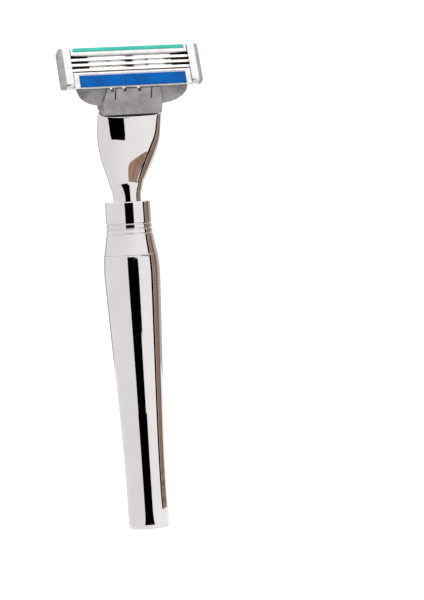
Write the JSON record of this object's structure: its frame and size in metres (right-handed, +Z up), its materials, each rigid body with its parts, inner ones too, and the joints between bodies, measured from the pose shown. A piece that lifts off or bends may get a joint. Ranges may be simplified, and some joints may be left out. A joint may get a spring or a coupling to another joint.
{
  "type": "cartridge razor",
  "caption": "Wet-shaving razor with a slim turned chrome handle, flared neck and a detachable pivoting cartridge with sprung blades.",
  "frame": {"origin": "centre of the handle's flat foot", "axes": "+Z up along the handle's axis towards the head; the blades face -Y; the head's length lies along X"},
  "size_m": [0.0394, 0.0238, 0.1333],
  "materials": {
    "chrome": "polished chrome plate",
    "brass": "turned",
    "steel": "stamped or drawn steel",
    "spring_steel": "drawn wire and strip",
    "blade_steel": "ground and polished",
    "black_plastic": "moulded, satin",
    "grey_plastic": "moulded, fine texture",
    "yoke_plastic": "moulded, fine vertical grain",
    "lube_polymer": "smooth water-soluble strip",
    "guard_rubber": "soft finned elastomer",
    "clip_aluminium": "bright rolled strip"
  },
  "bodies": {
    "handle": {"barrel": "chrome", "barrel_bush": "brass", "tie_stud": "steel", "collar": "chrome", "neck": "chrome", "mechanism_housing": "black_plastic", "latch_clip": "spring_steel", "plunger_spring": "spring_steel", "release_spring": "spring_steel"},
    "plunger": {"plunger": "grey_plastic"},
    "release": {"release_slider": "black_plastic", "release_fork": "steel"},
    "yoke": {"yoke": "yoke_plastic"},
    "blade_unit": {"cartridge_frame": "grey_plastic", "lube_strip": "lube_polymer", "guard_strip": "guard_rubber", "clip_left": "clip_aluminium", "clip_right": "clip_aluminium"},
    "blade_1": {"blade_1": "blade_steel", "blade_support_1": "steel"},
    "blade_2": {"blade_2": "blade_steel", "blade_support_2": "steel"},
    "blade_3": {"blade_3": "blade_steel", "blade_support_3": "steel"}
  },
  "joints": [
    {"name": "cartridge_dock", "type": "slide", "parent": "handle", "child": "yoke", "axis": [0, -0.4226, 0.9063], "range_m": [0, 0.014], "deforming": ["latch_clip"]},
    {"name": "blade_unit_pivot", "type": "hinge", "parent": "yoke", "child": "blade_unit", "pos_m": [0, -0.01294, 0.12339], "axis": [-1, 0, 0], "range_deg": [0, 40], "stiffness_Nm_per_rad": 0.006, "springref_deg": -8.59},
    {"name": "plunger_slide", "type": "slide", "parent": "handle", "child": "plunger", "axis": [0, 0.4226, -0.9063], "range_m": [0, 0.00115], "deforming": ["plunger_spring"]},
    {"name": "release_slide", "type": "slide", "parent": "handle", "child": "release", "axis": [0, -0.4226, 0.9063], "range_m": [0, 0.003], "stiffness_N_per_m": 150, "springref_m": -0.002, "deforming": ["release_spring"]},
    {"name": "blade_1_float", "type": "slide", "parent": "blade_unit", "child": "blade_1", "axis": [0, 0.9367, -0.3502], "range_m": [0, 0.00025], "stiffness_N_per_m": 300, "springref_m": -0.0002},
    {"name": "blade_2_float", "type": "slide", "parent": "blade_unit", "child": "blade_2", "axis": [0, 0.9367, -0.3502], "range_m": [0, 0.00025], "stiffness_N_per_m": 300, "springref_m": -0.0002},
    {"name": "blade_3_float", "type": "slide", "parent": "blade_unit", "child": "blade_3", "axis": [0, 0.9367, -0.3502], "range_m": [0, 0.00025], "stiffness_N_per_m": 300, "springref_m": -0.0002}
  ],
  "couplings": [
    {"joint": "plunger_slide", "follows": "blade_unit_pivot", "m_per_rad": 0.0015756}
  ]
}
